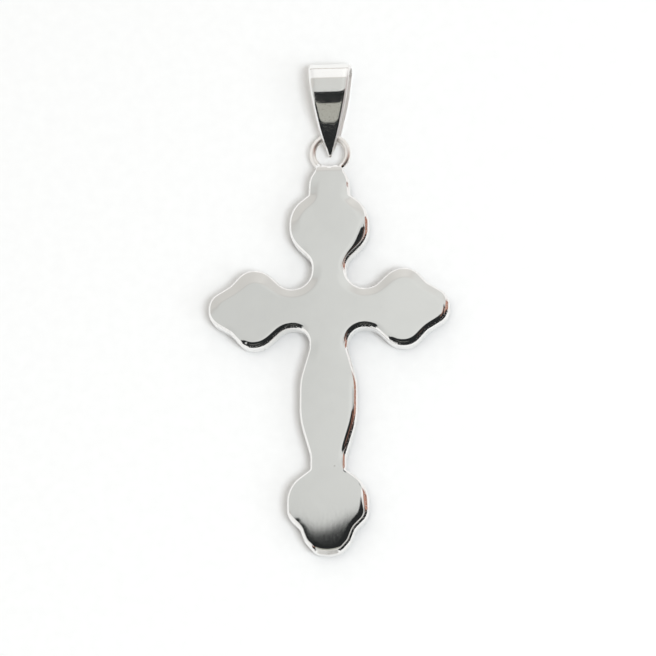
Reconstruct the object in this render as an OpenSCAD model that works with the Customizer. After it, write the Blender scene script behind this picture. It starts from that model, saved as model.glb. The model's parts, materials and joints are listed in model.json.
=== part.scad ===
// Silver cross pendant with budded ends, a soldered ring and a tapered bail.
// It lies on its back: X along the arms, Y towards the bail, Z out of the face.
// Origin: crossing centre on the flat back face. Lengths in mm.

/* [Plate] */
// Plate thickness
plate_t = 2.0; // [1.8:0.1:2.4]
// Inward step of the face edge from the side wall
edge_in = 0.30; // [0.1:0.05:0.4]
// Height of the softened edge below the face
edge_h = 0.42; // [0.3:0.02:0.6]
// Half width of the arms' reach, crossing centre to tip
arm_reach = 11.85; // [11.6:0.05:12.4]
// Largest half width of the lower arm
shaft_half = 2.80; // [2.5:0.05:3.1]

/* [Ring] */
// Diameter of the ring's wire
wire_d = 0.64; // [0.5:0.02:0.66]
// Mean radius of the ring
ring_r = 1.73; // [1.68:0.01:1.76]

/* [Bail] */
// Width of the bail at its top bend
bail_w = 4.3; // [3.6:0.1:4.6]
// Strip thickness at the top bend
strip_t = 0.38; // [0.3:0.02:0.5]
// Strip thickness where the ring passes
strip_low = 0.26; // [0.2:0.02:0.28]
// Swing of the bail from its rest position, in degrees
bail_swing = 0; // [-145:1:129]

/* [Hidden] */
$fn = 64;
plate_top = 14.4;
ring_y = 16.0;
ring_z = plate_t / 2;
pivot_y = ring_y + ring_r;
hole_r = ring_r - wire_d / 2;
seat_half = 1.10;
solder_h = 1.7;
solder_film = 0.06;
silver = [0.93, 0.92, 0.90];

// bail, in its own frame: u from the tip to the bend, w across the depth,
// w above zero on the domed front leaf and below it on the flat back leaf
bail_len = 9.4;
bend_front = 1.95;
bend_back = 1.10;
front_w = 2.15;
back_w = 0.995;
pivot_u = 1.95;
knee_in = 0.66;
knee_back = knee_in + strip_low;
apex_u = 0.75;

// half outline of the cross, top to foot: corner x, corner y, corner radius
top_arm = [
    [1.18, plate_top, 0.12],
    [1.98, 13.2, 2.2],
    [2.06, 11.55, 0.10],
    [3.92, 10.05, 2.9],
    [3.92, 7.0, 2.9],
    [1.68, 4.75, 1.6],
    [1.68, 2.0, 1.9]
];
side_arm = [
    [4.35, 2.0, 1.9],
    [6.4, 3.95, 2.5],
    [8.3, 3.95, 2.0],
    [9.72, 2.4, 1.5],
    [arm_reach, 1.1, 1.7]
];
low_arm = [
    [1.84, -2.0, 1.6],
    [1.9, -4.1, 2.0],
    [shaft_half, -7.3, 7.0],
    [shaft_half, -11.2, 9.0],
    [1.72, -14.8, 2.2],
    [1.72, -16.1, 0.3],
    [3.97, -17.8, 3.0],
    [3.97, -20.75, 1.8],
    [2.70, -22.0, 1.6],
    [2.22, -23.25, 1.4],
    [1.3, -24.3, 1.6]
];
foot_tip = [[0, -24.55, 2.0]];

function flip_y(p) = [for (i = [len(p) - 1:-1:0]) [p[i][0], -p[i][1], p[i][2]]];
function flip_x(p) = [for (i = [len(p) - 1:-1:0]) [-p[i][0], p[i][1], p[i][2]]];
right_side = concat(top_arm, side_arm, flip_y(side_arm), low_arm);
cross_corners = concat(right_side, foot_tip, flip_x(right_side));

function unit(v) = v / norm(v);
function cross2(a, b) = a[0] * b[1] - a[1] * b[0];

// points of the tangent arc at one corner, moved inwards by e
function corner_arc(a, c, b, r, e) =
    let (
        u = unit(a - c),
        v = unit(b - c),
        turn = cross2(-u, v),
        half = acos(max(-1, min(1, u * v))) / 2,
        bis = unit(u + v),
        sgn = turn < 0 ? 1 : -1,
        rr = max(0.0, r - sgn * e),
        o = c + bis * (r / sin(half)),
        oo = rr > 0 ? o : c + bis * sgn * (e / sin(half)),
        sweep = 180 - 2 * half,
        steps = rr > 0 ? max(2, ceil(sweep * (0.05 + 0.012 * rr))) : 0,
        a0 = atan2((-bis)[1], (-bis)[0]) + sgn * sweep / 2
    )
    steps == 0 ? [oo] :
    [for (k = [0:steps])
        oo + rr * [cos(a0 - sgn * sweep * k / steps), sin(a0 - sgn * sweep * k / steps)]];

function outline(p, e = 0) =
    let (n = len(p))
    [for (i = [0:n - 1])
        each corner_arc(
            [p[(i + n - 1) % n][0], p[(i + n - 1) % n][1]],
            [p[i][0], p[i][1]],
            [p[(i + 1) % n][0], p[(i + 1) % n][1]],
            p[i][2], e)];

module cross_plate() {
    color(silver) {
        linear_extrude(plate_t - edge_h)
            polygon(outline(cross_corners));
        translate([0, 0, plate_t - edge_h])
            linear_extrude(edge_h * 0.5)
                polygon(outline(cross_corners, edge_in * 0.3));
        translate([0, 0, plate_t - edge_h * 0.5])
            linear_extrude(edge_h * 0.5)
                polygon(outline(cross_corners, edge_in));
    }
}

module ring_wire() {
    translate([0, ring_y, ring_z])
        rotate_extrude($fn = 96)
            translate([ring_r, 0])
                circle(d = wire_d);
}

// the ring's underside is filed flat where it is seated on the plate
module seated_ring() {
    difference() {
        ring_wire();
        translate([-3, plate_top + solder_film - 3, ring_z - 2])
            cube([6, 3, 4]);
    }
}

module hanging_ring() {
    color(silver)
        seated_ring();
}

module ring_solder() {
    flare = [
        [-seat_half, plate_top],
        [seat_half, plate_top],
        [1.12, plate_top + 0.14],
        [1.30, plate_top + 0.34],
        [-1.30, plate_top + 0.34],
        [-1.12, plate_top + 0.14]
    ];
    color(silver)
        difference() {
            translate([0, 0, ring_z - solder_h / 2])
                linear_extrude(solder_h)
                    polygon(flare);
            translate([0, ring_y, 0])
                cylinder(r = hole_r + 0.07, h = 3, $fn = 96);
            seated_ring();
        }
}

module placed_bail() {
    translate([0, pivot_y, ring_z])
        rotate([bail_swing, 0, 0])
            translate([0, -pivot_u, 0])
                children();
}

// corners of the strip's outside and inside: u, w, corner radius
leaf_out = [
    [0.0, 0.20, 0.12],
    [1.2, 0.70, 24],
    [3.0, 1.31, 24],
    [5.0, 1.83, 17],
    [6.3, 2.03, 5.6],
    [bail_len, front_w, bend_front],
    [bail_len, -back_w, bend_back],
    [1.6, -knee_back + 0.01, 1.6],
    [0.0, -0.20, 0.12]
];
leaf_in = [
    [apex_u, 0.0, 0.0],
    [pivot_u - 0.05, knee_in + 0.01, 0.5],
    [3.0, 1.02, 16],
    [5.0, 1.50, 12],
    [6.3, 1.67, 5.0],
    [bail_len - strip_t, front_w - strip_t, bend_front - strip_t],
    [bail_len - strip_t, -back_w + strip_t, bend_back - strip_t],
    [pivot_u - 0.05, -knee_in - 0.01, 0.5]
];
// front view of the bail: u, half width
function bail_front(w) = [
    [0.0, 0.16],
    [0.25, 0.30],
    [1.3, 0.66],
    [2.9, 1.11],
    [6.2, 0.415 * w],
    [bail_len + 0.1, 0.5 * w]
];

module strip_side(p) {
    polygon(outline(p));
}

module bail_blank(p, wide) {
    rotate([90, 0, 90])
        linear_extrude(wide, center = true)
            strip_side(p);
}

module bail_taper() {
    f = bail_front(bail_w);
    n = len(f);
    translate([0, 0, -3])
        linear_extrude(6)
            polygon(concat(
                [for (i = [0:n - 1]) [f[i][1], f[i][0]]],
                [for (i = [n - 1:-1:0]) [-f[i][1], f[i][0]]]));
}

module bail_strip() {
    color(silver)
        placed_bail()
            intersection() {
                difference() {
                    bail_blank(leaf_out, 5);
                    bail_blank(leaf_in, 6);
                }
                bail_taper();
            }
}

module bail_tip_solder() {
    color(silver)
        placed_bail()
            difference() {
                translate([0, -0.02, 0])
                    sphere(r = 0.20, $fn = 32);
                translate([-1, 0, -1])
                    cube([2, 2, 2]);
            }
}

cross_plate();
hanging_ring();
ring_solder();
bail_strip();
bail_tip_solder();
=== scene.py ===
"""Polished silver cross pendant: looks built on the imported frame.

The outline and the plate, solder and bail shapes are worked out in mm and scaled by MM;
everything that goes to Blender is in metres."""

import json
import math
from statistics import NormalDist

import bmesh
import bpy
import numpy as np
from mathutils import Matrix, Vector
from mathutils.geometry import delaunay_2d_cdt


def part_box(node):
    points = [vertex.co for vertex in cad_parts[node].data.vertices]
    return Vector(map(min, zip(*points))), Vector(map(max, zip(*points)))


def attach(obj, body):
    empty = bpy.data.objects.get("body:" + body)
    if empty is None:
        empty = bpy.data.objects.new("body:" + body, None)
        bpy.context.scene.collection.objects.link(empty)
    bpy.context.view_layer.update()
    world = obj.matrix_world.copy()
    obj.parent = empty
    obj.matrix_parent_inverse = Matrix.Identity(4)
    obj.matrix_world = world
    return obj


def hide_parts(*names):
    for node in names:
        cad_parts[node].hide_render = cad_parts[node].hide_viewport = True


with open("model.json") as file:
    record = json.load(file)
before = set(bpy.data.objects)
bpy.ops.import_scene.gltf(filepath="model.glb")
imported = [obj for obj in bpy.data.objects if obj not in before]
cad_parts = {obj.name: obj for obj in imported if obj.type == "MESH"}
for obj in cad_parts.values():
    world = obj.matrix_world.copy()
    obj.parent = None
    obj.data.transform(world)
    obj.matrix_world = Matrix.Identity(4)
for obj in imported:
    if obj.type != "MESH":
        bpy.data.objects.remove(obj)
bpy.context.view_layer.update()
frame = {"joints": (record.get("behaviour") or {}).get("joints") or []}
MM = 0.001

plate_lo, plate_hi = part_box("cross_plate")
ring_lo, ring_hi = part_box("hanging_ring")
bail_lo, bail_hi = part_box("bail_strip")
HINGE = next(j for j in frame["joints"] if j["name"] == "bail_swing")
PIVOT = Vector(HINGE["pos_m"])
THICK = (plate_hi.z - plate_lo.z) / MM
REACH = plate_hi.x / MM
PLATE_TOP = plate_hi.y / MM
FOOT = plate_lo.y / MM


# ---------------------------------------------------------------- outline
STEP = 0.06          # mm between points along a corner's arc
TURN = 0.12          # radians between them at most

# corners of the right half, top to foot, in mm: x, y, radius
TOP_ARM = [
    (1.18, PLATE_TOP, 0.12),
    (1.98, 13.2, 2.2),
    (2.06, 11.55, 0.10),
    (3.92, 10.05, 2.9),
    (3.92, 7.0, 2.9),
    (1.68, 4.75, 1.6),
    (1.68, 2.0, 1.9),
]
SIDE_ARM = [
    (4.35, 2.0, 1.9),
    (6.4, 3.95, 2.5),
    (8.3, 3.95, 2.0),
    (9.72, 2.4, 1.5),
    (REACH, 1.1, 1.7),
]
LOW_ARM = [
    (1.84, -2.0, 1.6),
    (1.9, -4.1, 2.0),
    (2.8, -7.3, 7.0),
    (2.8, -11.2, 9.0),
    (1.72, -14.8, 2.2),
    (1.72, -16.1, 0.3),
    (3.97, -17.8, 3.0),
    (3.97, -20.75, 1.8),
    (2.70, -22.0, 1.6),
    (2.22, -23.25, 1.4),
    (1.3, -24.3, 1.6),
]
RIGHT = TOP_ARM + SIDE_ARM + [(x, -y, r) for x, y, r in SIDE_ARM[::-1]] + LOW_ARM
CROSS = RIGHT + [(0.0, FOOT, 2.0)] + [(-x, y, r) for x, y, r in RIGHT[::-1]]


def rounded(corners, inset=0.0, step=STEP, closed=True):
    """Points of a polyline with rounded corners, moved to its inside (it runs clockwise)
    by inset. Their number doesn't depend on inset, so two such lines bridge with quads."""
    points = []
    n = len(corners)
    for i, (cx, cy, r) in enumerate(corners):
        if not closed and i in (0, n - 1):
            points.append(Vector((cx, cy)))
            continue
        c = Vector((cx, cy))
        u = (Vector(corners[i - 1][:2]) - c).normalized()
        v = (Vector(corners[(i + 1) % n][:2]) - c).normalized()
        half = math.acos(max(-1.0, min(1.0, u.dot(v)))) / 2
        bis = (u + v).normalized()
        sign = 1.0 if (-u).cross(v) < 0 else -1.0
        sweep = math.pi - 2 * half
        steps = max(3, int(sweep * r / step) + 1, int(sweep / TURN) + 1)
        left = r - sign * inset
        if left > 0:
            centre = c + bis * (r / math.sin(half))
        else:
            left = 0.0
            centre = c + bis * sign * (inset / math.sin(half))
        start = math.atan2(-bis.y, -bis.x) + sign * sweep / 2
        for k in range(steps + 1):
            a = start - sign * sweep * k / steps
            points.append(centre + left * Vector((math.cos(a), math.sin(a))))
    return points


def densify(points, gap):
    """A plan that splits the long stretches of a closed line, so that bent surfaces stay
    smooth along them: (point, how far on towards the next one)."""
    plan = []
    for i, p in enumerate(points):
        q = points[(i + 1) % len(points)]
        parts = max(1, int((q - p).length / gap))
        plan += [(i, k / parts) for k in range(parts)]
    return plan


def place(points, plan):
    """The points that a plan asks for, along any line with as many points."""
    n = len(points)
    return [points[i].lerp(points[(i + 1) % n], t) for i, t in plan]


def new_object(name, bm, materials, body, replaced):
    """A finished piece; its faces' material_index counts through materials."""
    bm.normal_update()
    mesh = bpy.data.meshes.new(name)
    bm.to_mesh(mesh)
    bm.free()
    for material in materials:
        mesh.materials.append(material)
    obj = bpy.data.objects.new(name, mesh)
    bpy.context.scene.collection.objects.link(obj)
    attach(obj, body)
    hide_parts(replaced)
    return obj


def bridge(bm, a, b):
    """Smooth quads between two rings of as many vertices."""
    for i in range(len(a)):
        j = (i + 1) % len(a)
        bm.faces.new((a[i], a[j], b[j], b[i])).smooth = True


def crease_lines(bm, pairs):
    """Sharp edges between the vertices of each pair that has one."""
    for pair in pairs:
        edge = bm.edges.get(pair)
        if edge:
            edge.smooth = False


# ---------------------------------------------------------------- materials
def node(tree, kind, **values):
    """A shader node: in_NAME or in_NUMBER sets an input, any other word an attribute."""
    item = tree.nodes.new(kind)
    for key, value in values.items():
        if key.startswith("in_"):
            name = key[3:].replace("_", " ")
            item.inputs[int(name) if name.isdigit() else name].default_value = value
        else:
            setattr(item, key, value)
    return item


def ramp(tree, stops):
    """A colour ramp with stops of (position, colour)."""
    item = tree.nodes.new("ShaderNodeValToRGB")
    elements = item.color_ramp.elements
    while len(elements) < len(stops):
        elements.new(0.5)
    for element, (position, colour) in zip(elements, stops):
        element.position = position
        element.color = (*colour, 1.0)
    return item


def silver(name, colour, dull, rough, scratch, wave, wave_scale,
           along=(1.0, 0.12, 1.0), worn=0.0):
    """Polished silver: faint colour change and tarnish, hairline scratches in the
    direction of the last buffing, a slow waviness of hand polish, dust specks, and
    worn pits, seen as grey specks where the metal mirrors something dark."""
    material = bpy.data.materials.new(name)
    material.use_nodes = True
    tree = material.node_tree
    links = tree.links
    shader = tree.nodes["Principled BSDF"]
    shader.inputs["Metallic"].default_value = 1.0
    coords = node(tree, "ShaderNodeTexCoord")

    # colour: tarnish clouds and dust
    cloud = node(tree, "ShaderNodeTexNoise", in_Scale=260.0, in_Detail=3.0)
    links.new(coords.outputs["Object"], cloud.inputs["Vector"])
    tint = ramp(tree, [(0.35, dull), (0.62, colour)])
    links.new(cloud.outputs["Fac"], tint.inputs["Fac"])
    dust = node(tree, "ShaderNodeTexVoronoi", in_Scale=330.0)
    links.new(coords.outputs["Object"], dust.inputs["Vector"])
    speck = ramp(tree, [(0.030, (0.62, 0.60, 0.58)), (0.055, (1.0, 1.0, 1.0))])
    links.new(dust.outputs["Distance"], speck.inputs["Fac"])
    mixed = node(tree, "ShaderNodeMix", data_type="RGBA", blend_type="MULTIPLY", in_0=1.0)
    links.new(tint.outputs["Color"], mixed.inputs[6])
    links.new(speck.outputs["Color"], mixed.inputs[7])
    links.new(mixed.outputs[2], shader.inputs["Base Color"])

    # roughness: hairlines and pits
    stretch = node(tree, "ShaderNodeMapping", in_Rotation=(0.0, 0.0, 0.35), in_Scale=along)
    links.new(coords.outputs["Object"], stretch.inputs["Vector"])
    hair = node(tree, "ShaderNodeTexNoise", in_Scale=9000.0, in_Detail=2.0)
    links.new(stretch.outputs["Vector"], hair.inputs["Vector"])
    gloss = node(tree, "ShaderNodeMapRange", in_3=rough * 0.6, in_4=rough * 1.5)
    links.new(hair.outputs["Fac"], gloss.inputs[0])
    pits = node(tree, "ShaderNodeTexNoise", in_Scale=10000.0, in_Detail=0.0, in_Roughness=0.5)
    links.new(coords.outputs["Object"], pits.inputs["Vector"])
    pitted = ramp(tree, [(0.60, (0.0, 0.0, 0.0)), (0.66, (worn, worn, worn))])
    links.new(pits.outputs["Fac"], pitted.inputs["Fac"])
    total = node(tree, "ShaderNodeMath", operation="ADD")
    links.new(gloss.outputs[0], total.inputs[0])
    links.new(pitted.outputs["Color"], total.inputs[1])
    links.new(total.outputs[0], shader.inputs["Roughness"])

    # relief: hairlines on the slow waves
    fine = node(tree, "ShaderNodeBump", in_Strength=scratch, in_Distance=2e-6)
    links.new(hair.outputs["Fac"], fine.inputs["Height"])
    slow = node(tree, "ShaderNodeTexNoise", in_Scale=wave_scale, in_Detail=1.0)
    links.new(coords.outputs["Object"], slow.inputs["Vector"])
    broad = node(tree, "ShaderNodeBump", in_Strength=1.0, in_Distance=wave)
    links.new(slow.outputs["Fac"], broad.inputs["Height"])
    links.new(fine.outputs["Normal"], broad.inputs["Normal"])
    links.new(broad.outputs["Normal"], shader.inputs["Normal"])
    return material


WHITE_METAL = (0.95, 0.945, 0.93)
PLATE_SILVER = silver("plate_silver", WHITE_METAL, (0.92, 0.915, 0.90),
                      rough=0.035, scratch=0.10, wave=1.2e-6, wave_scale=180.0)
EDGE_SILVER = silver("edge_silver", WHITE_METAL, (0.90, 0.89, 0.87),
                     rough=0.05, scratch=0.20, wave=2e-6, wave_scale=420.0, worn=0.35)
# painted shade: a dark silver for the lowest band of the plate's wall, standing in for the contact
# shadow where the plate meets the table
UNDER_SILVER = silver("painted_contact_shade", (0.22, 0.21, 0.20), (0.16, 0.15, 0.14),
                      rough=0.40, scratch=0.3, wave=2e-6, wave_scale=420.0)
SIDE_SILVER = silver("side_silver", (0.985, 0.985, 0.98), (0.94, 0.935, 0.92),
                     rough=0.60, scratch=0.3, wave=1e-6, wave_scale=420.0)
FILED_SILVER = silver("filed_silver", (0.90, 0.885, 0.86), (0.84, 0.82, 0.79),
                      rough=0.40, scratch=0.4, wave=2e-6, wave_scale=420.0, worn=0.3)
RING_SILVER = silver("ring_silver", (0.94, 0.92, 0.89), (0.84, 0.81, 0.77),
                     rough=0.34, scratch=0.30, wave=4e-6, wave_scale=900.0)
BAIL_SILVER = silver("bail_silver", WHITE_METAL, (0.92, 0.91, 0.89),
                     rough=0.03, scratch=0.12, wave=1.5e-6, wave_scale=500.0,
                     along=(1.0, 0.2, 1.0), worn=0.14)
INNER_SILVER = silver("pickled_silver", (0.98, 0.975, 0.96), (0.94, 0.93, 0.91),
                      rough=0.58, scratch=0.5, wave=3e-6, wave_scale=900.0)
SOLDER_SILVER = silver("solder_silver", (0.93, 0.92, 0.90), (0.84, 0.82, 0.79),
                       rough=0.14, scratch=0.5, wave=1e-5, wave_scale=1500.0)


# ---------------------------------------------------------------- the plate
# all in mm and radians, and from above: x to the right, y to the top
CELL = 0.05          # grid of the soft depth field
PAD = 2.0            # how far the grid goes on past the outline
BLUR = 0.35          # how far buffing rounds the corners of the roll-off
GENTLE = (math.radians(1.9), 1.15, 0.40)   # roll-off: slope, depth inside, width of its start
STRONG = (math.radians(6.0), 0.84, 0.50)
FOOT_LEFT = 0.05     # the share of the strong one that the foot's left side gets
FLAT_IN = 1.3        # deeper inside than this the face is flat
CREASE_IN = 0.39     # where the face ends and the shoulder begins
RIM_WIDE = 0.115     # the bright line left between face buff and edge buff
RIM_RISE = 0.020
BASE_HIGH = 0.36     # the foot of the wall tucks under
BASE_IN = 0.13
BASE_STEPS = 6
FACET_Y = FOOT + 0.24   # the very tip of the foot is filed flat
FACET_DEEP = 0.36
TOP_START = PLATE_TOP - 0.5
TOP_LEAN = 0.045
TOP_RADIUS = 0.32
DOWN_RIGHT = Vector((0.447, -0.894))
FINE_GAP = 0.11      # between points of the face where it rolls off
COARSE_GAP = 0.44    # and in its flat middle
ROW_STEP = 0.866     # rows of even triangles, as a share of the gap
WALL_GAP = 0.10      # between points along the outline
WELD = 1.2e-6        # metres; points closer than this are one
FINE_WELD = 5e-7
STEEP_UP = 0.97      # a face whose normal points up or down less than this is steep
# too hollow for the buff to reach, or hardly touched: x, y
CALM = [(1.5, -15.9), (-11.2, -1.2)]
CALM_AREA = 2.5      # a calm place's radius, squared
# places that were buffed harder: x, y, radius, how much wider the roll-off is
BUFFED = [
    (3.1, 7.4, 1.5, 0.40),
    (3.2, -19.6, 1.5, 0.10),
    (-7.2, 4.2, 2.6, 0.45),
    (7.6, 4.2, 2.2, 0.15),
]
# places where the outer edge itself is rounder: x, y, radius, how much
ROUNDER = [(3.8, -18.9, 1.3, 0.75), (11.7, -0.5, 1.1, 0.6), (3.9, 8.6, 1.0, 0.35)]


def smoothstep(a, b, x):
    """0 up to a, 1 from b on, smooth between them; b may be the smaller one."""
    t = max(0.0, min(1.0, (x - a) / (b - a)))
    return t * t * (3 - 2 * t)


def bump(x, y, cx, cy, area):
    """1 at (cx, cy), falling off to 0 around it."""
    return math.exp(-((x - cx) ** 2 + (y - cy) ** 2) / area)


def crossings(xs, ys, y):
    """Pairs of x between which the level y lies inside a closed line."""
    xe, ye = np.roll(xs, -1), np.roll(ys, -1)
    hit = (ys <= y) != (ye <= y)
    at = np.sort(xs[hit] + (y - ys[hit]) / (ye[hit] - ys[hit]) * (xe[hit] - xs[hit]))
    return zip(at[::2], at[1::2])


class Field:
    """How far inside the outline a point is, in mm, measured softly: the filled outline
    is blurred by a bell curve, and the blur's value is read back as a depth."""

    def __init__(self, outline):
        self.x0, self.y0 = -REACH - PAD, FOOT - PAD
        wide = int((2 * REACH + 2 * PAD) / CELL) + 1
        high = int((PLATE_TOP - FOOT + 2 * PAD) / CELL) + 1
        xs = np.array([p.x for p in outline])
        ys = np.array([p.y for p in outline])
        inside = np.zeros((high, wide))
        columns = np.arange(wide)
        for j in range(high):
            for left, right in crossings(xs, ys, self.y0 + j * CELL):
                a = (left - self.x0) / CELL
                b = (right - self.x0) / CELL
                covered = np.minimum(columns + 0.5, b) - np.maximum(columns - 0.5, a)
                inside[j] += np.clip(covered, 0, 1)
        reach = int(5 * BLUR / CELL)
        bell = np.exp(-0.5 * (np.arange(-reach, reach + 1) * CELL / BLUR) ** 2)
        bell /= bell.sum()
        rows = np.array([np.convolve(row, bell, mode="same") for row in inside])
        self.fill = np.array([np.convolve(col, bell, mode="same") for col in rows.T]).T
        self.grad_y, self.grad_x = np.gradient(self.fill, CELL)
        self.bell = NormalDist()

    def read(self, grid, x, y):
        """A grid's value between its points."""
        u = (x - self.x0) / CELL
        v = (y - self.y0) / CELL
        i, j = int(u), int(v)
        a, b = u - i, v - j
        return ((grid[j, i] * (1 - a) + grid[j, i + 1] * a) * (1 - b)
                + (grid[j + 1, i] * (1 - a) + grid[j + 1, i + 1] * a) * b)

    def depth(self, x, y):
        outside = 1.0 - self.read(self.fill, x, y)
        return -BLUR * self.bell.inv_cdf(min(max(outside, 1e-7), 1 - 1e-7))

    def outward(self, x, y):
        """The direction towards the nearest edge."""
        g = Vector((-self.read(self.grad_x, x, y), -self.read(self.grad_y, x, y)))
        return g.normalized() if g.length > 1e-9 else Vector((0.0, 1.0))


OUTLINE = rounded(CROSS)
field = Field(OUTLINE)


def roll_off(d, slope, start, width):
    """The drop of a face that starts to slope at depth start and has its whole slope
    at start - width: the area under a smooth step."""
    t = (start - d) / width
    if t <= 0:
        return 0.0
    return slope * width * (t ** 3 - t ** 4 / 2 if t < 1 else t - 0.5)


def face_drop(x, y):
    """How far the face has rolled off below its flat middle, in mm."""
    d = field.depth(x, y)
    for bx, by, radius, wider in BUFFED:
        d -= wider * bump(x, y, bx, by, radius ** 2)
    if d > FLAT_IN:
        return top_drop(y)
    out = field.outward(x, y)
    # edges that face down and right had the hardest buffing, the foot's left side a trace
    low_right = smoothstep(0.22, 0.60, out.dot(DOWN_RIGHT))
    foot_left = FOOT_LEFT * smoothstep(-21.0, -21.8, y) * smoothstep(-1.0, -1.8, x)
    low_right = max(low_right, foot_left)
    for cx, cy in CALM:
        low_right *= 1 - bump(x, y, cx, cy, CALM_AREA)
    # edges that face up were buffed gently, but not at the very top or on the lower arm
    upper = smoothstep(-0.2, 0.6, out.y - 0.15 * out.x)
    upper *= smoothstep(13.2, 12.2, y)
    upper *= smoothstep(-6.0, -3.0, y)
    gentle = roll_off(d, *GENTLE) * upper
    strong = roll_off(d, *STRONG) * low_right
    return gentle + strong + top_drop(y)


def top_drop(y):
    """The end that carries the ring is rounded over towards the ring's hole."""
    lean = max(min(y, PLATE_TOP) - TOP_START, 0.0)
    over = min(max(y - PLATE_TOP, 0.0), 0.9 * TOP_RADIUS)
    turned = TOP_RADIUS - math.sqrt(TOP_RADIUS ** 2 - over ** 2)
    return TOP_LEAN * lean ** 2 / (2 * (PLATE_TOP - TOP_START)) + TOP_LEAN * over + turned


def arc_rows(x0, z0, x1, first, last, count):
    """(inset, depth) along a circular arc from (x0, z0) to the inset x1, between two
    slopes in degrees."""
    a0, a1 = math.radians(first), math.radians(last)
    radius = (x0 - x1) / (math.sin(a1) - math.sin(a0))
    rows = []
    for k in range(count + 1):
        a = a0 + (a1 - a0) * k / count
        rows.append((x0 - radius * (math.sin(a) - math.sin(a0)),
                     z0 + radius * (math.cos(a0) - math.cos(a))))
    return rows


def grid_points(crease):
    """Points spread over the face inside its crease: close together where the face
    rolls off, far apart in the flat middle."""
    cx = np.array([p.x for p in crease])
    cy = np.array([p.y for p in crease])
    points = []
    for gap in (FINE_GAP, COARSE_GAP):
        row = 0
        y = FOOT
        while y < PLATE_TOP:
            shift = gap / 2 if row % 2 else 0.0
            for left, right in crossings(cx, cy, y):
                for k in range(math.ceil(left / gap), math.ceil(right / gap)):
                    x = k * gap + shift
                    if not left < x < right:
                        continue
                    rolled = face_drop(x, y) > 0 or field.depth(x, y) < FLAT_IN + 0.05
                    if rolled != (gap == FINE_GAP):
                        continue
                    away = (cx - x) ** 2 + (cy - y) ** 2
                    if away.min() > (0.45 * gap) ** 2:
                        points.append(Vector((x, y)))
            row += 1
            y += gap * ROW_STEP
    return points


def cap(bm, ring, front):
    """Closes a ring of vertices with triangles; the front one follows the roll-off."""
    flat = [Vector((v.co.x / MM, v.co.y / MM)) for v in ring]
    apart = 0.002
    kept = [0]
    for i in range(1, len(flat)):
        if (flat[i] - flat[kept[-1]]).length > apart:
            kept.append(i)
    loop = [flat[i] for i in kept]
    spread = loop + (grid_points(loop) if front else [])
    sides = [(i, (i + 1) % len(loop)) for i in range(len(loop))]
    points, _, faces, origin, _, _ = delaunay_2d_cdt(spread, sides, [], 1, 1e-6)
    made = []
    for p, source in zip(points, origin):
        if source and source[0] < len(loop):
            made.append(ring[kept[source[0]]])
        else:
            z = plate_hi.z - face_drop(p.x, p.y) * MM
            made.append(bm.verts.new((p.x * MM, p.y * MM, z)))
    for corners in faces:
        face = bm.faces.new([made[i] for i in corners])
        face.smooth = True


RIM_OUT = CREASE_IN - RIM_WIDE
# the shoulder from the crease outwards: inset, depth, how far on from crease to rim
SHOULDER = [(CREASE_IN, 0.0, 0.0), (CREASE_IN - 0.4 * RIM_WIDE, 0.0, 0.6), (RIM_OUT, 0.0, 1.0)]
SHOULDER += [(inset, depth, 1.0) for inset, depth in arc_rows(RIM_OUT, 0.0, 0.0, 10, 87, 14)[1:]]


def wall_rows():
    """(inset, depth) down the wall and round its tucked-in foot."""
    base = []
    for k in range(BASE_STEPS + 1):
        t = k / BASE_STEPS
        base.append((BASE_IN * t ** 2, THICK - BASE_HIGH * (1 - t)))
    middle = (SHOULDER[-1][1] + THICK - BASE_HIGH) / 2
    return [(0.0, middle)] + base


def shoulder_share(p):
    """How much of the shoulder's width is kept at a point of the outline: it is narrower
    on the upper left, wider where worn, and fades out at the top end under the solder."""
    share = 1.0
    for bx, by, radius, extra in ROUNDER:
        share += extra * bump(p.x, p.y, bx, by, radius ** 2)
    low_right = field.outward(p.x, p.y).dot(DOWN_RIGHT)
    return (smoothstep(PLATE_TOP - 0.01, PLATE_TOP - 0.50, p.y) * share
            * (0.66 + 0.34 * smoothstep(-0.5, 0.4, low_right)))


def rim_share(c):
    """How much of the bright line's rise there is: on the foot, except where its edge
    faces up, and less at the lower left."""
    out = field.outward(c.x, c.y)
    high = 0.05 + 0.70 * smoothstep(-0.3, 0.3, out.x)
    shows = smoothstep(high, high - 0.5, out.y) * smoothstep(-14.5, -17.0, c.y)
    lower_left = 0.6 * smoothstep(-0.3, -0.7, out.x)
    lower_left *= smoothstep(-21.0, -22.0, c.y)
    lower_left *= smoothstep(-23.6, -23.0, c.y)
    return shows * (1 - lower_left)


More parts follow.
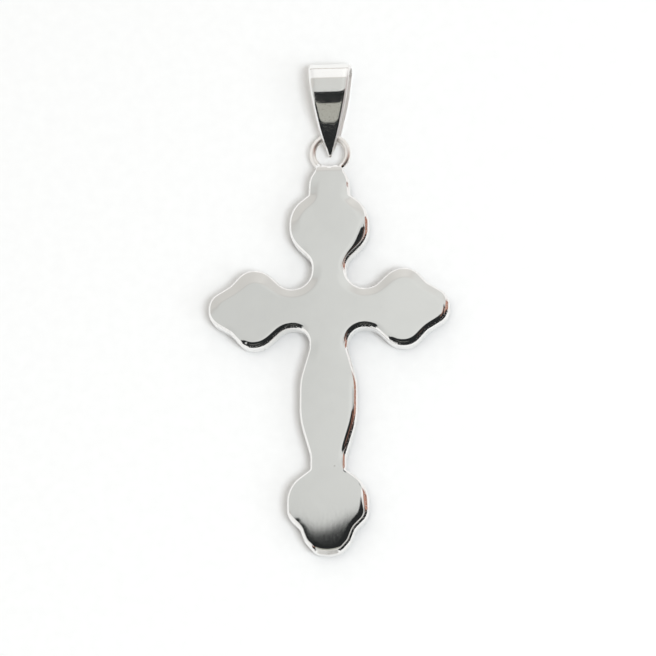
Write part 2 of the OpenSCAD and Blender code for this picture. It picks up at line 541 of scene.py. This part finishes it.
def build_plate():
    """The cross: buffed face, rim, rounded shoulder, wall and flat back."""
    plan = densify(OUTLINE, WALL_GAP)
    edge = place(OUTLINE, plan)
    crease = place(rounded(CROSS, CREASE_IN), plan)
    out_line = place(rounded(CROSS, RIM_OUT), plan)
    keep = [shoulder_share(p) for p in edge]
    facets = [smoothstep(FACET_Y + 0.08, FACET_Y, p.y) for p in edge]
    drops, rims = [], []
    for p, q, o, k in zip(edge, crease, out_line, keep):
        c = p.lerp(q, k)
        o = p.lerp(o, k)
        drops.append((face_drop(c.x, c.y), face_drop(o.x, o.y)))
        rims.append(RIM_RISE * k * rim_share(c))

    bm = bmesh.new()
    rings = []
    for inset, depth, raised in SHOULDER:
        flat = place(rounded(CROSS, inset), plan)
        filed = FACET_DEEP * (RIM_OUT - inset) / RIM_OUT if inset < RIM_OUT else 0.0
        ring = []
        for p, q, k, (inner, outer), rim, facet in zip(edge, flat, keep, drops, rims, facets):
            at = p.lerp(q, k)
            drop = inner + (outer - inner) * raised + depth * k
            drop += (filed - depth) * facet
            z = plate_hi.z - (drop - rim * raised) * MM
            ring.append(bm.verts.new((at.x * MM, at.y * MM, z)))
        rings.append(ring)
    for inset, depth in wall_rows():
        flat = place(rounded(CROSS, inset), plan)
        z = plate_hi.z - depth * MM
        rings.append([bm.verts.new((p.x * MM, p.y * MM, z)) for p in flat])
    for a, b in zip(rings, rings[1:]):
        bridge(bm, a, b)
    for ring in (rings[0], rings[2], rings[-1]):
        crease_lines(bm, zip(ring, ring[1:] + ring[:1]))
    cap(bm, rings[0], True)
    cap(bm, rings[-1], False)
    bmesh.ops.remove_doubles(bm, verts=bm.verts, dist=WELD)
    bmesh.ops.recalc_face_normals(bm, faces=bm.faces)
    obj = new_object("polished_plate", bm, [PLATE_SILVER, EDGE_SILVER, FILED_SILVER, UNDER_SILVER],
                     "cross", "cross_plate")
    for polygon in obj.data.polygons:
        polygon.material_index = plate_finish(polygon.normal.z, polygon.center)


def plate_finish(up, at):
    """Which of the plate's materials a face gets: 0 polished, 1 edge, 2 filed, 3 the painted contact
    shadow on the wall's lowest band.
    """
    steep = abs(up) < STEEP_UP
    # the wall's lowest band gets the dark material: a painted contact shadow line, not a finish of
    # the metal
    if steep and at.z < plate_lo.z + 0.8 * BASE_HIGH * MM:
        return 3
    if 0.35 < up < 0.85 and at.y < (FACET_Y + 0.25) * MM and abs(at.x) < 1.0 * MM:
        return 2
    if steep and at.y < TOP_START * MM:
        return 1
    return 0


build_plate()


# ---------------------------------------------------------------- ring and solder
WIRE_R = (ring_hi.z - ring_lo.z) / 2
RING_OUT = (ring_hi.x - ring_lo.x) / 2
RING_R = RING_OUT - WIRE_R
RING_C = Vector((0.0, PIVOT.y - RING_R, PIVOT.z))


def build_ring():
    """A wire bent round, a little flattened where it was filed to sit on the plate."""
    turns, sides = 192, 40
    slim = 0.985         # leaves room for the wobble inside the CAD wire
    filed = plate_hi.y + 0.02 * MM
    bm = bmesh.new()
    loops = []
    for i in range(turns):
        a = 2 * math.pi * i / turns
        out = Vector((math.sin(a), -math.cos(a), 0.0))
        wobble = 1 + 0.006 * math.sin(5 * a + 1.0) + 0.004 * math.sin(11 * a)
        loop = []
        for k in range(sides):
            b = 2 * math.pi * k / sides
            p = RING_C + out * (RING_R + WIRE_R * slim * wobble * math.cos(b))
            p.z += WIRE_R * slim * wobble * math.sin(b)
            p.y = max(p.y, filed)
            loop.append(bm.verts.new(p))
        loops.append(loop)
    for i in range(turns):
        bridge(bm, loops[i], loops[(i + 1) % turns])
    bmesh.ops.recalc_face_normals(bm, faces=bm.faces)
    new_object("ring_wire", bm, [RING_SILVER], "cross", "hanging_ring")


def soft_max(a, b, blend):
    """The larger of two heights, with a fillet of that size where they meet."""
    return (a + b + math.sqrt((a - b) ** 2 + blend ** 2)) / 2


SEAT_MEAN = RING_R / MM
SEAT_WIRE = WIRE_R / MM
SEAT_HOLE = (RING_R - WIRE_R) / MM + 0.004     # the solder stays just off the ring's hole
SEAT_OUT = RING_OUT / MM - 0.012               # and inside the ring's outer line
SEAT_Y = RING_C.y / MM
SEAT_LAP = 0.02                                # how far it reaches over the plate's end
SEAT_SPREAD = math.radians(48.0)
BACK_RADIUS = 0.4
BACK_GAP = 0.002


def seat_height(angle, x, y, rho, front):
    """Half height of the solder above or below the ring's plane."""
    if front:
        on_plate = min(y, PLATE_TOP)
        roll = THICK / 2 - face_drop(x, on_plate) - (top_drop(y) - top_drop(on_plate))
    else:
        over = min(max(y - PLATE_TOP, 0.0), BACK_RADIUS - 0.01)
        roll = THICK / 2 - BACK_GAP - (BACK_RADIUS - math.sqrt(BACK_RADIUS ** 2 - over ** 2))
    # at both sides it falls to the wire, and beyond the plate's end it has a fillet
    side = abs(angle)
    roll -= 1.5 * smoothstep(math.radians(27.0), math.radians(46.0), side)
    wire = math.sqrt(max(SEAT_WIRE ** 2 - (rho - SEAT_MEAN) ** 2, 0.0))
    z = soft_max(roll, wire, 0.02 + 0.14 * smoothstep(0.0, 0.15, y - PLATE_TOP))
    if y < PLATE_TOP:
        z = min(z, roll)
    # a hair below the plate's face and the wire, so that it never flickers through them
    z -= 0.0014 * smoothstep(PLATE_TOP + 0.08, PLATE_TOP - 0.01, y)
    z -= 0.012 * smoothstep(math.radians(36.0), math.radians(47.0), side)
    near_hole = min(1.0, (rho - SEAT_HOLE) / 0.14)
    return z * math.sqrt(max(0.0, 1 - (1 - near_hole) ** 2))


def build_solder():
    """Solder that carries the plate's rounded end over into the ring: a sheet in polar
    steps about the ring's centre, on the front and on the back."""
    columns, rows = 90, 26
    crowding = 1.6       # more rows near the hole
    seat = SEAT_Y - (PLATE_TOP - SEAT_LAP)
    bm = bmesh.new()
    sheets = []
    for front in (True, False):
        sheet = []
        for i in range(columns + 1):
            angle = SEAT_SPREAD * (-1 + 2 * i / columns)
            far = min(seat / math.cos(angle), SEAT_OUT)
            line = []
            for k in range(rows + 1):
                t = k / rows
                rho = far + (SEAT_HOLE - far) * (1 - (1 - t) ** crowding)
                x = rho * math.sin(angle)
                y = SEAT_Y - rho * math.cos(angle)
                z = seat_height(angle, x, y, rho, front) * (1 if front else -1)
                line.append(bm.verts.new((x * MM, y * MM, PIVOT.z + z * MM)))
            sheet.append(line)
        sheets.append(sheet)
        for a, b in zip(sheet, sheet[1:]):
            for k in range(rows):
                bm.faces.new((a[k], b[k], b[k + 1], a[k + 1])).smooth = True

    def rim(sheet):
        return (sheet[0] + [line[-1] for line in sheet[1:]] + sheet[-1][-2::-1]
                + [line[0] for line in sheet[-2:0:-1]])

    bridge(bm, rim(sheets[0]), rim(sheets[1]))
    bmesh.ops.remove_doubles(bm, verts=bm.verts, dist=FINE_WELD)
    bmesh.ops.recalc_face_normals(bm, faces=bm.faces)
    new_object("ring_solder_fillet", bm, [PLATE_SILVER], "cross", "ring_solder")


build_ring()
build_solder()


# ---------------------------------------------------------------- the bail
# side view of the folded strip, in mm: u from the tip, w across the depth, radius
PIVOT_U = 1.95
BAIL_LEN = (bail_hi.y - PIVOT.y) / MM + PIVOT_U
FRONT_W = (bail_hi.z - PIVOT.z) / MM
BACK_W = (PIVOT.z - bail_lo.z) / MM
HALF_TOP = (bail_hi.x - bail_lo.x) / MM / 2
STRIP = 0.38
BEND_FRONT = 1.95
BEND_BACK = 1.10
EDGE_BEVEL = 0.15    # across, and down the outside of the two long edges
BEVEL_DEEP = 0.24
ROLL_WIDE = 0.42     # the buffed roll-off beside the bevel
ROLL_SINK = 0.026
TRIM = 0.03          # broken inner edges
SIDE_GAP = 0.02      # stays this far inside the CAD strip's sides
LEAF_OUT = [
    (0.0, 0.03, 0.0),
    (0.0, 0.20, 0.12),
    (1.2, 0.70, 24.0),
    (3.0, 1.31, 24.0),
    (5.0, 1.83, 17.0),
    (6.3, 2.03, 5.6),
    (BAIL_LEN, FRONT_W, BEND_FRONT),
    (BAIL_LEN, -BACK_W, BEND_BACK),
    (1.6, -0.91, 1.6),
    (0.0, -0.20, 0.12),
    (0.0, -0.03, 0.0),
]
LEAF_IN = [
    (0.03, 0.006, 0.0),
    (0.75, 0.01, 0.05),
    (1.9, 0.67, 0.5),
    (3.0, 1.02, 16.0),
    (5.0, 1.50, 12.0),
    (6.3, 1.67, 5.0),
    (BAIL_LEN - STRIP, FRONT_W - STRIP, BEND_FRONT - STRIP),
    (BAIL_LEN - STRIP, -BACK_W + STRIP, BEND_BACK - STRIP),
    (1.9, -0.67, 0.5),
    (0.75, -0.01, 0.05),
    (0.03, -0.006, 0.0),
]
# front view: u, half width; the first and last only give the ends their slope
TAPER = [
    (-0.6, 0.0),
    (0.0, 0.16),
    (0.25, 0.30),
    (1.3, 0.66),
    (2.9, 1.11),
    (6.2, 0.83 * HALF_TOP),
    (BAIL_LEN + 0.1, HALF_TOP),
    (11.6, HALF_TOP * 1.12),
]


def half_width(u):
    """The strip's half width at u: a smooth curve through TAPER."""
    i = 1
    while i < len(TAPER) - 3 and u > TAPER[i + 1][0]:
        i += 1
    (u0, w0), (u1, w1), (u2, w2), (u3, w3) = TAPER[i - 1:i + 3]
    m1 = (w2 - w0) / (u2 - u0)
    m2 = (w3 - w1) / (u3 - u1)
    h = u2 - u1
    t = max(0.0, min(1.0, (u - u1) / h))
    return ((2 * t ** 3 - 3 * t ** 2 + 1) * w1 + (t ** 3 - 2 * t ** 2 + t) * h * m1
            + (-2 * t ** 3 + 3 * t ** 2) * w2 + (t ** 3 - t ** 2) * h * m2)


def walk(points, count):
    """count + 1 points spread evenly by length along an open polyline."""
    lengths = [0.0]
    for a, b in zip(points, points[1:]):
        lengths.append(lengths[-1] + (b - a).length)
    out = []
    j = 0
    for k in range(count + 1):
        s = lengths[-1] * k / count
        while j < len(points) - 2 and lengths[j + 1] < s:
            j += 1
        span = lengths[j + 1] - lengths[j]
        out.append(points[j].lerp(points[j + 1], (s - lengths[j]) / span if span else 0.0))
    return out


def outside_section(wide, thick):
    """(x, sink) across the strip's outside, from its left edge to its right one. Bevel
    and roll-off shrink with the strip towards its tips."""
    bevel = min(EDGE_BEVEL, 0.35 * wide)
    roll = min(ROLL_WIDE, 0.38 * wide)
    steps = 5
    right = []
    for k in range(steps - 1, 0, -1):
        t = k / steps
        right.append((wide - bevel - roll * t, ROLL_SINK * (1 - t) ** 2))
    right.append((wide - bevel, ROLL_SINK))
    right.append((wide, min(BEVEL_DEEP, 0.75 * thick)))
    middle = [((wide - bevel - roll) * k / steps, 0.0) for k in range(-steps, steps + 1)]
    return [(-x, sink) for x, sink in right[::-1]] + middle + right


def build_bail():
    """A strip of even section, cut to a taper, bevelled on the outside of its two
    long edges, folded over and closed at the tip."""
    count = 420
    outer = walk(rounded(LEAF_OUT, step=0.03, closed=False), count)
    inner = walk(rounded(LEAF_IN, step=0.03, closed=False), count)
    bm = bmesh.new()
    loops = []
    for o, n in zip(outer, inner):
        wide = min(half_width(o.x), HALF_TOP - SIDE_GAP)
        d = (n - o).normalized()
        section = [(x, o + d * sink) for x, sink in outside_section(wide, (n - o).length)]
        section += [(wide, n - d * TRIM), (wide - TRIM, n), (-wide + TRIM, n), (-wide, n - d * TRIM)]
        loops.append([
            bm.verts.new((x * MM, PIVOT.y + (q.x - PIVOT_U) * MM, PIVOT.z + q.y * MM))
            for x, q in section
        ])
    # columns of the section: the bevels, and from the right bevel's foot round the inside
    last = len(loops[0]) - 1
    bevels = (0, last - 5)
    inside = range(last - 3, last + 1)
    for a, b in zip(loops, loops[1:]):
        bridge(bm, a, b)
        crease_lines(bm, [(a[k], b[k]) for k in (0, 1, last - 5, last - 4, *inside)])
        for k in inside:
            bm.faces.get((a[k], a[(k + 1) % len(a)], b[(k + 1) % len(a)], b[k])).material_index = 1
        for k in bevels:
            bm.faces.get((a[k], a[k + 1], b[k + 1], b[k])).material_index = 2
    bm.faces.new(loops[0])
    bm.faces.new(loops[-1][::-1])
    bmesh.ops.triangulate(bm, faces=[f for f in bm.faces if len(f.verts) > 4])
    bmesh.ops.recalc_face_normals(bm, faces=bm.faces)
    new_object("folded_bail", bm, [BAIL_SILVER, INNER_SILVER, SIDE_SILVER],
               "bail", "bail_strip")


def build_tip():
    """The small drop of solder that closes the two tips."""
    half_size = Vector((0.17, 0.19, 0.19)) * MM
    centre = Vector((0.0, PIVOT.y - PIVOT_U * MM, PIVOT.z))
    bm = bmesh.new()
    bmesh.ops.create_icosphere(bm, subdivisions=4, radius=1.0)
    for v in bm.verts:
        lump = 1 + 0.05 * math.sin(5 * v.co.x + 1) * math.cos(4 * v.co.z)
        v.co = centre + half_size * v.co * lump
    for face in bm.faces:
        face.smooth = True
    new_object("tip_solder_bead", bm, [SOLDER_SILVER], "bail", "bail_tip_solder")


build_bail()
build_tip()


# ---------------------------------------------------------------- floor
FLOOR_HALF = 1.6
FLOOR_GAP = 0.00002      # under the pendant, so that the two never flicker


def floor_material():
    """White card with a faint grain."""
    material = bpy.data.materials.new("white_card")
    material.use_nodes = True
    tree = material.node_tree
    shader = tree.nodes["Principled BSDF"]
    shader.inputs["Roughness"].default_value = 0.85
    shader.inputs["Specular IOR Level"].default_value = 0.15
    coords = node(tree, "ShaderNodeTexCoord")
    grain = node(tree, "ShaderNodeTexNoise", in_Scale=900.0, in_Detail=4.0)
    tree.links.new(coords.outputs["Object"], grain.inputs["Vector"])
    tone = ramp(tree, [(0.3, (0.905, 0.905, 0.90)), (0.7, (0.925, 0.925, 0.92))])
    tree.links.new(grain.outputs["Fac"], tone.inputs["Fac"])
    tree.links.new(tone.outputs["Color"], shader.inputs["Base Color"])
    return material


def flat_sheet(name, corners, material):
    """One flat face that belongs to the studio, not to the object."""
    mesh = bpy.data.meshes.new(name)
    mesh.from_pydata([tuple(c) for c in corners], [], [tuple(range(len(corners)))])
    mesh.materials.append(material)
    obj = bpy.data.objects.new(name, mesh)
    bpy.context.scene.collection.objects.link(obj)
    return obj


floor = flat_sheet(
    "floor",
    [(-FLOOR_HALF, -FLOOR_HALF, 0), (FLOOR_HALF, -FLOOR_HALF, 0),
     (FLOOR_HALF, FLOOR_HALF, 0), (-FLOOR_HALF, FLOOR_HALF, 0)],
    floor_material(),
)
floor.location.z = -FLOOR_GAP


# ---------------------------------------------------------------- studio cards
# seen only in the metal: what stands over and beside the table, in metres
CARD_Z = 0.34
WALL_TOP = 0.36
GREY_Z = CARD_Z - 0.004      # just under the dark one
DARK_TONE = (0.020, 0.0215, 0.022)
COPPER_TONE = (0.50, 0.21, 0.135)
# outline of the dark card, whose side towards the bail is cut by DARK_EDGE
DARK_OUTLINE = [(-0.50, -1.3), (1.3, -1.3), (1.3, 0.13), (-0.072, 0.13),
                (-0.072, 0.02), (-0.085, -0.02), (-0.26, -0.24), (-0.272, -0.60)]
DARK_WALLS = [(1.25, 0.0), (1.0, -0.75), (0.25, -1.28), (-0.50, -1.28)]
# x, y: the card ends at this y; the close steps shape the black on the cross's foot
DARK_EDGE = [
    (-0.080, 0.0415),
    (-0.0500, 0.0415),
    (-0.0440, 0.0428),
    (-0.0400, 0.0440),
    (-0.0377, 0.0436),
    (-0.0363, 0.0426),
    (-0.0347, 0.0420),
    (-0.0327, 0.0422),
    (-0.0306, 0.0431),
    (-0.0286, 0.0443),
    (-0.020, 0.0468),
    (-0.005, 0.0500),
    (0.012, 0.0560),
    (0.025, 0.066),
    (0.035, 0.080),
    (0.050, 0.095),
    (0.13, 0.110),
]
DARK_SOFT = 0.0014       # half the width of that edge's fade
CURVE_SCALE = 5.0        # brings its y into the curve's 0 to 1


def glow(name, colour, soft=()):
    """Plain light; each (axis, from, to) of soft fades it in from nothing to full."""
    material = bpy.data.materials.new(name)
    material.use_nodes = True
    tree = material.node_tree
    tree.nodes.clear()
    out = node(tree, "ShaderNodeOutputMaterial")
    light = node(tree, "ShaderNodeEmission")
    light.inputs["Color"].default_value = (*colour, 1.0)
    light.inputs["Strength"].default_value = 1.0
    if not soft:
        tree.links.new(light.outputs[0], out.inputs["Surface"])
        return material
    clear = node(tree, "ShaderNodeBsdfTransparent")
    mix = node(tree, "ShaderNodeMixShader")
    coords = node(tree, "ShaderNodeTexCoord")
    split = node(tree, "ShaderNodeSeparateXYZ")
    tree.links.new(coords.outputs["Object"], split.inputs[0])
    last = None
    for axis, start, end in soft:
        fade = node(tree, "ShaderNodeMapRange", interpolation_type="SMOOTHSTEP",
                    in_1=start, in_2=end, in_3=0.0, in_4=1.0)
        tree.links.new(split.outputs[axis], fade.inputs[0])
        if last is None:
            last = fade.outputs[0]
        else:
            times = node(tree, "ShaderNodeMath", operation="MULTIPLY")
            tree.links.new(last, times.inputs[0])
            tree.links.new(fade.outputs[0], times.inputs[1])
            last = times.outputs[0]
    tree.links.new(last, mix.inputs[0])
    tree.links.new(clear.outputs[0], mix.inputs[1])
    tree.links.new(light.outputs[0], mix.inputs[2])
    tree.links.new(mix.outputs[0], out.inputs["Surface"])
    return material


def card(name, corners, material):
    """A sheet that only the metal sees."""
    obj = flat_sheet(name, corners, material)
    obj.visible_camera = False
    obj.visible_diffuse = False
    obj.visible_shadow = False
    obj.visible_transmission = False


def soft_dark():
    """Dark cloth whose one edge follows DARK_EDGE and fades out softly."""
    material = glow("dark_cloth_soft", DARK_TONE, soft=[("Y", DARK_SOFT, -DARK_SOFT)])
    tree = material.node_tree
    links = tree.links
    fade = next(n for n in tree.nodes if n.bl_idname == "ShaderNodeMapRange")
    split = next(n for n in tree.nodes if n.bl_idname == "ShaderNodeSeparateXYZ")
    curve = node(tree, "ShaderNodeFloatCurve")
    x0, x1 = DARK_EDGE[0][0], DARK_EDGE[-1][0]
    points = curve.mapping.curves[0].points
    while len(points) < len(DARK_EDGE):
        points.new(0.5, 0.5)
    for point, (x, y) in zip(points, DARK_EDGE):
        point.location = ((x - x0) / (x1 - x0), y * CURVE_SCALE)
        point.handle_type = "VECTOR"
    curve.mapping.update()
    across = node(tree, "ShaderNodeMapRange", in_1=x0, in_2=x1, in_3=0.0, in_4=1.0)
    scale = node(tree, "ShaderNodeMath", operation="MULTIPLY", in_1=1 / CURVE_SCALE)
    beyond = node(tree, "ShaderNodeMath", operation="SUBTRACT")
    links.new(split.outputs["X"], across.inputs[0])
    links.new(across.outputs[0], curve.inputs["Value"])
    links.new(curve.outputs[0], scale.inputs[0])
    links.new(split.outputs["Y"], beyond.inputs[0])
    links.new(scale.outputs[0], beyond.inputs[1])
    links.new(beyond.outputs[0], fade.inputs[0])
    return material


def warm_shape():
    """Something warm and coppery beside the table, in streaks."""
    material = glow("warm_shape", COPPER_TONE,
                    soft=[("Z", 0.33, 0.324), ("Y", 0.0995, 0.097), ("Y", 0.005, 0.03)])
    tree = material.node_tree
    coords = next(n for n in tree.nodes if n.bl_idname == "ShaderNodeTexCoord")
    light = next(n for n in tree.nodes if n.bl_idname == "ShaderNodeEmission")
    spread = node(tree, "ShaderNodeMapping", in_Scale=(6.0, 14.0, 90.0))
    streaks = node(tree, "ShaderNodeTexNoise", in_Scale=1.0, in_Detail=2.0)
    tones = ramp(tree, [(0.42, (0.20, 0.085, 0.06)), (0.50, COPPER_TONE), (0.62, (0.78, 0.52, 0.43))])
    tree.links.new(coords.outputs["Object"], spread.inputs["Vector"])
    tree.links.new(spread.outputs["Vector"], streaks.inputs["Vector"])
    tree.links.new(streaks.outputs["Fac"], tones.inputs["Fac"])
    tree.links.new(tones.outputs["Color"], light.inputs["Color"])
    return material


def build_cards():
    """Dark cloth overhead and round the foot end, a grey sheet in it, copper at the right."""
    card("card_dark_top", [(x, y, CARD_Z) for x, y in DARK_OUTLINE], soft_dark())
    dark = glow("dark_cloth", DARK_TONE)
    for number, (p, q) in enumerate(zip(DARK_WALLS, DARK_WALLS[1:])):
        corners = [(*p, 0.0), (*q, 0.0), (*q, WALL_TOP), (*p, WALL_TOP)]
        card("card_dark_wall_%d" % number, corners, dark)
    left, right, low, high = -0.078, 0.018, -0.078, -0.014
    grey = glow("grey_patch", (0.42, 0.42, 0.378),
                soft=[("Y", low, low + 0.008), ("Y", high, high - 0.003),
                      ("X", left, left + 0.012), ("X", right, right - 0.012)])
    card("card_grey", [(left, low, GREY_Z), (right, low, GREY_Z),
                       (right, high, GREY_Z), (left, high, GREY_Z)], grey)
    # the copper sheet leans from far out on the table to high over the cross
    far, near, low, high, top = 0.36, 0.045, -0.03, 0.122, 0.33
    card("card_warm", [(far, low, 0.0), (far, high, 0.0), (near, high, top), (near, low, top)],
         warm_shape())


build_cards()


# ---------------------------------------------------------------- world and lights
BRIGHT = 1.2             # of the tent
LAMP_COLOUR = (0.90, 0.955, 1.0)
FILL = (0.650 / BRIGHT, 0.632 / BRIGHT, 0.606 / BRIGHT)     # what the table gets of it


def build_world():
    """A white tent round the table with a darker opening overhead."""
    world = bpy.data.worlds.new("studio")
    bpy.context.scene.world = world
    world.use_nodes = True
    tree = world.node_tree
    back = tree.nodes["Background"]
    coords = node(tree, "ShaderNodeTexCoord")
    split = node(tree, "ShaderNodeSeparateXYZ")
    tree.links.new(coords.outputs["Generated"], split.inputs[0])
    dome = ramp(tree, [
        (0.0, (0.42, 0.36, 0.31)),
        (0.05, (0.42, 0.36, 0.31)),
        (0.085, (0.98, 0.98, 0.975)),
        (0.905, (0.98, 0.98, 0.975)),
        (0.925, (0.73, 0.715, 0.69)),
        (0.946, (0.69, 0.68, 0.655)),
        (0.949, (0.60, 0.59, 0.57)),
        (0.954, (0.655, 0.665, 0.65)),
    ])
    tree.links.new(split.outputs["Z"], dome.inputs["Fac"])
    # the tent is a little brighter on the right
    across = node(tree, "ShaderNodeMapRange", in_1=-0.5, in_2=0.2, in_3=0.0, in_4=1.0)
    levels = [(0.30, 1.0), (0.457, 0.88), (0.549, 0.95), (0.580, 1.015), (0.614, 1.08),
              (0.671, 1.12), (0.786, 1.0)]
    side = ramp(tree, [(x, (level / BRIGHT,) * 3) for x, level in levels])
    tree.links.new(split.outputs["X"], across.inputs[0])
    tree.links.new(across.outputs[0], side.inputs["Fac"])
    toned = node(tree, "ShaderNodeVectorMath", operation="SCALE")
    tree.links.new(dome.outputs["Color"], toned.inputs[0])
    tree.links.new(side.outputs["Color"], toned.inputs["Scale"])
    # the table gets the fill light, the metal sees the tent as it is
    path = node(tree, "ShaderNodeLightPath")
    mix = node(tree, "ShaderNodeMix", data_type="RGBA")
    mix.inputs[7].default_value = (*FILL, 1.0)
    tree.links.new(path.outputs["Is Diffuse Ray"], mix.inputs[0])
    tree.links.new(toned.outputs[0], mix.inputs[6])
    tree.links.new(mix.outputs[2], back.inputs["Color"])
    back.inputs["Strength"].default_value = BRIGHT


def area(name, position, size, power):
    """A round soft lamp aimed at the cross."""
    light = bpy.data.lights.new(name, "AREA")
    light.shape = "DISK"
    light.size = size
    light.energy = power
    light.color = LAMP_COLOUR
    obj = bpy.data.objects.new(name, light)
    obj.location = position
    obj.rotation_euler = (-Vector(position)).to_track_quat("-Z", "Y").to_euler()
    obj.visible_glossy = False
    bpy.context.scene.collection.objects.link(obj)


build_world()
area("key", (0.34, -0.25, 0.82), size=0.36, power=3.9)
area("low_key", (0.55, -0.24, 0.37), size=0.36, power=0.65)


# ---------------------------------------------------------------- camera
def build_camera():
    """Seen from the front, a little from the right and from the foot end."""
    target = Vector((-0.00014, -0.00180, 0.0010))
    distance = 0.350
    to_right, to_foot, roll = math.radians(5.5), math.radians(14.0), math.radians(0.25)
    back = Vector((math.tan(to_right), -math.tan(to_foot), 1.0)).normalized()
    right = Vector((0.0, 1.0, 0.0)).cross(back).normalized()
    up = back.cross(right)
    side = right * math.cos(roll) + up * math.sin(roll)
    top = up * math.cos(roll) - right * math.sin(roll)
    data = bpy.data.cameras.new("camera")
    data.sensor_width = 36.0
    data.lens = 195.9
    data.clip_start = 0.01
    data.clip_end = 10.0
    obj = bpy.data.objects.new("camera", data)
    turn = Matrix((side, top, back)).transposed().to_4x4()
    obj.matrix_world = Matrix.Translation(target + back * distance) @ turn
    bpy.context.scene.collection.objects.link(obj)
    bpy.context.scene.camera = obj


build_camera()
bpy.context.scene.view_settings.view_transform = "Standard"
